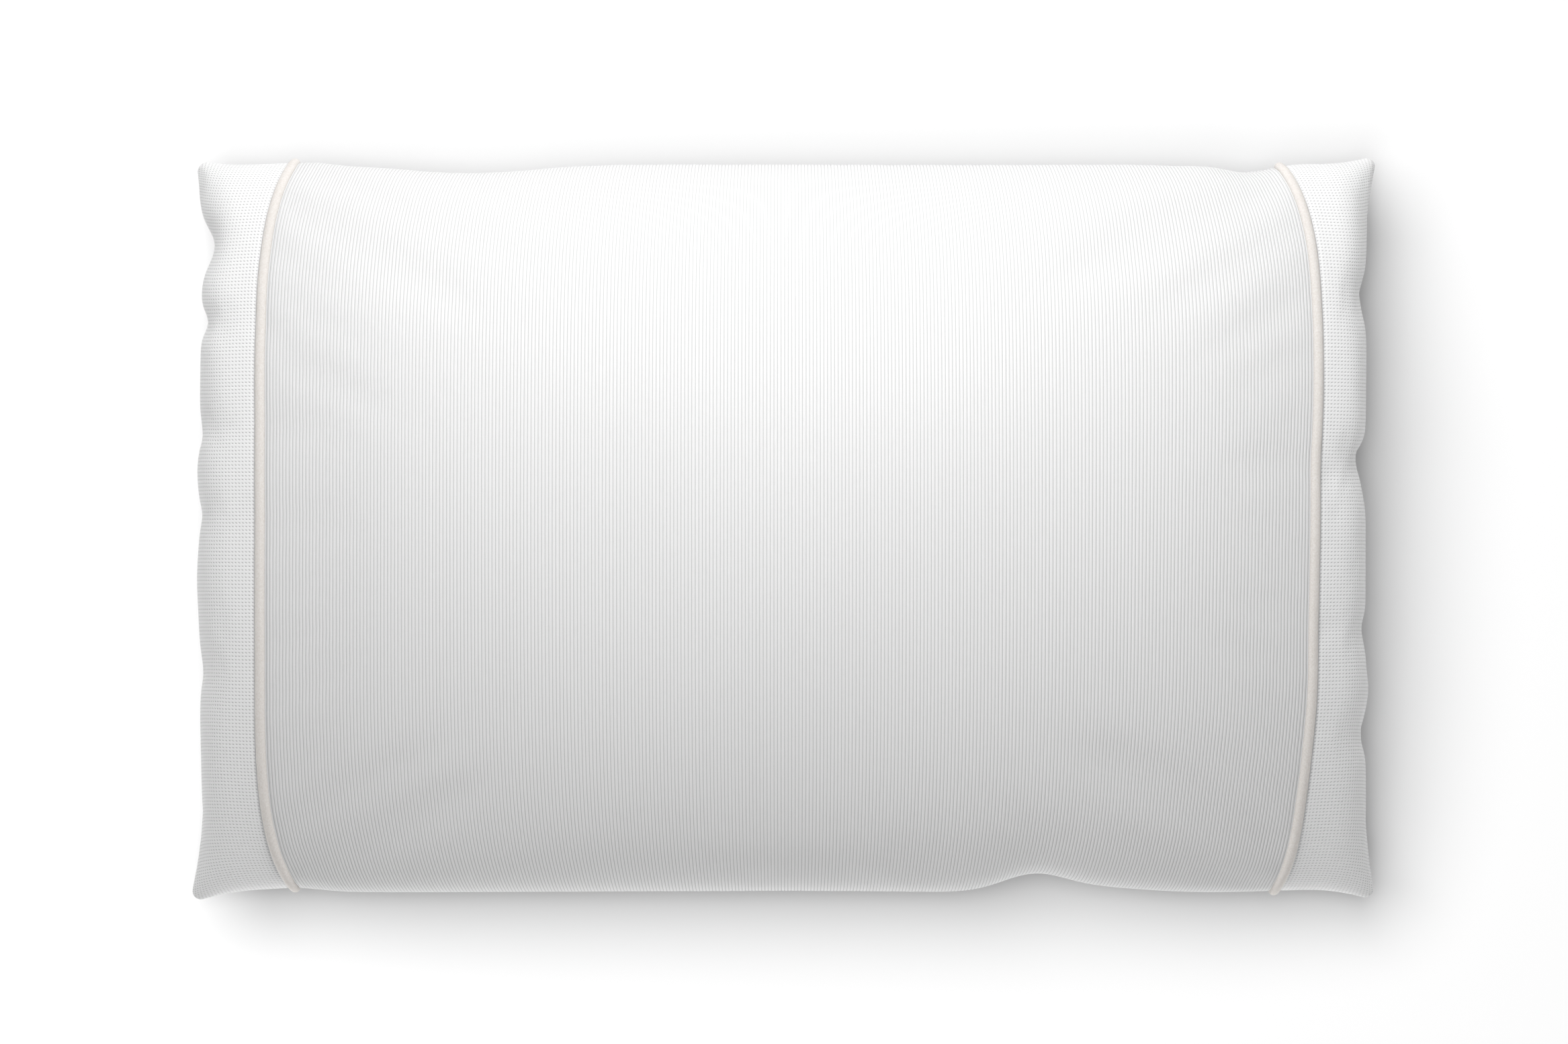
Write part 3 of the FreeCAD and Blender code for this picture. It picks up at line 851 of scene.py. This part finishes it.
def toward(azimuth, elevation):
    """The direction at these angles: azimuth 0 is +X and 90 is +Y."""
    a, e = math.radians(azimuth), math.radians(elevation)
    return (math.cos(a) * math.cos(e), math.sin(a) * math.cos(e), math.sin(e))


def make_light(pillow_lit, floor_lit):
    """A soft lamp near the pillow, fill from its sides, and one overhead for the floor and its shadow."""
    scene = bpy.context.scene
    world = bpy.data.worlds.new("studio")
    world.use_nodes = True
    background = world.node_tree.nodes["Background"]
    background.inputs["Color"].default_value = (1.0, 1.0, 1.0, 1.0)
    background.inputs["Strength"].default_value = 0.06
    scene.world = world
    scene.view_settings.view_transform = "Standard"
    soft_light("main", toward(90, 57), 1.15, 0.35, 0.95, pillow_lit)
    soft_light("front", toward(-90, 3), 4.0, 1.2, 0.66, pillow_lit)
    soft_light("left", toward(180, 7), 4.0, 1.2, 0.23, pillow_lit)
    soft_light("right", toward(0, 7), 4.0, 1.2, 0.16, pillow_lit)
    soft_light("overhead", (0.0, 0.0, 1.0), 6.0, 1.2, 0.25, floor_lit)
    soft_light("overhead_left", (-0.38, 0.35, 1.0), 6.0, 2.8, 0.90, floor_lit)
    soft_light("overhead_front", (-0.15, -0.35, 1.0), 6.0, 1.4, 0.17, floor_lit)


def dress(piece, material, slot, *nodes):
    """Gives a new piece its material and its body, and hides the CAD nodes that it stands for."""
    piece.data.materials.append(material)
    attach(piece, "pillow")
    piece.visible_diffuse = False  # a white cover this close would light the floor round it
    if nodes:
        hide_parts(*nodes)
    return piece


def repaint(material, *nodes):
    """Gives CAD nodes that stay in view a better material."""
    for name in nodes:
        mesh = frame["nodes"][name].data
        mesh.materials.clear()
        mesh.materials.append(material)


make_camera()
floor = make_floor()
cloth_field = settle_cover()

centre = dress(centre_panel(), ribbed_knit(), "ribbed_knit", "centre_panel_top", "centre_panel_bottom")
mesh_material = air_mesh()
piping_material = piping_knit()
for word, side in (("left", -1), ("right", 1)):
    panel_nodes = [f"{word}_end_panel_{face}" for face in ("top", "bottom")]
    panel = dress(end_panel(f"{word}_end_panel", side), mesh_material, "air_mesh", *panel_nodes)
    parts = ("sleeve_top", "sleeve_bottom", "cord_top", "cord_bottom")
    piping_nodes = [f"{word}_piping_{part}" for part in parts]
    dress(piping(f"{word}_piping", side), piping_material, "piping_knit", *piping_nodes)

cotton = woven("lining", gray(0.86, 0.01), 0.7 * MM, 0.1 * MM)
liner = dress(inner_form("liner", LINER_INSET), cotton, "lining", "liner_top", "liner_bottom")
fill = dress(inner_form("fill", FILL_INSET), fibre(), "fibre", "fibre_fill")

tape_cloth = woven("zip_tape", gray(0.84), 0.45 * MM, 0.12 * MM)
for row, side in (("upper", 1), ("lower", -1)):
    dress(zip_tape(f"tape_{row}", f"zip_tape_{row}", side), tape_cloth, "zip_tape", f"zip_tape_{row}")
    dress(lip_stitches(f"lip_stitches_{row}", side), tape_cloth, "ribbed_knit")
repaint(nylon(), "zip_teeth_upper", "zip_teeth_lower")
repaint(enamel(), "zip_slider", "zip_pull", "zip_top_stops", "zip_bottom_stop")

label = dress(care_label(), satin(), "label_satin", "care_label")

pillow_lit = bpy.data.collections.new("pillow_lit")
floor_lit = bpy.data.collections.new("floor_lit")
for thing in bpy.context.scene.objects:
    if thing.type == "MESH":
        (floor_lit if thing is floor else pillow_lit).objects.link(thing)
make_light(pillow_lit, floor_lit)
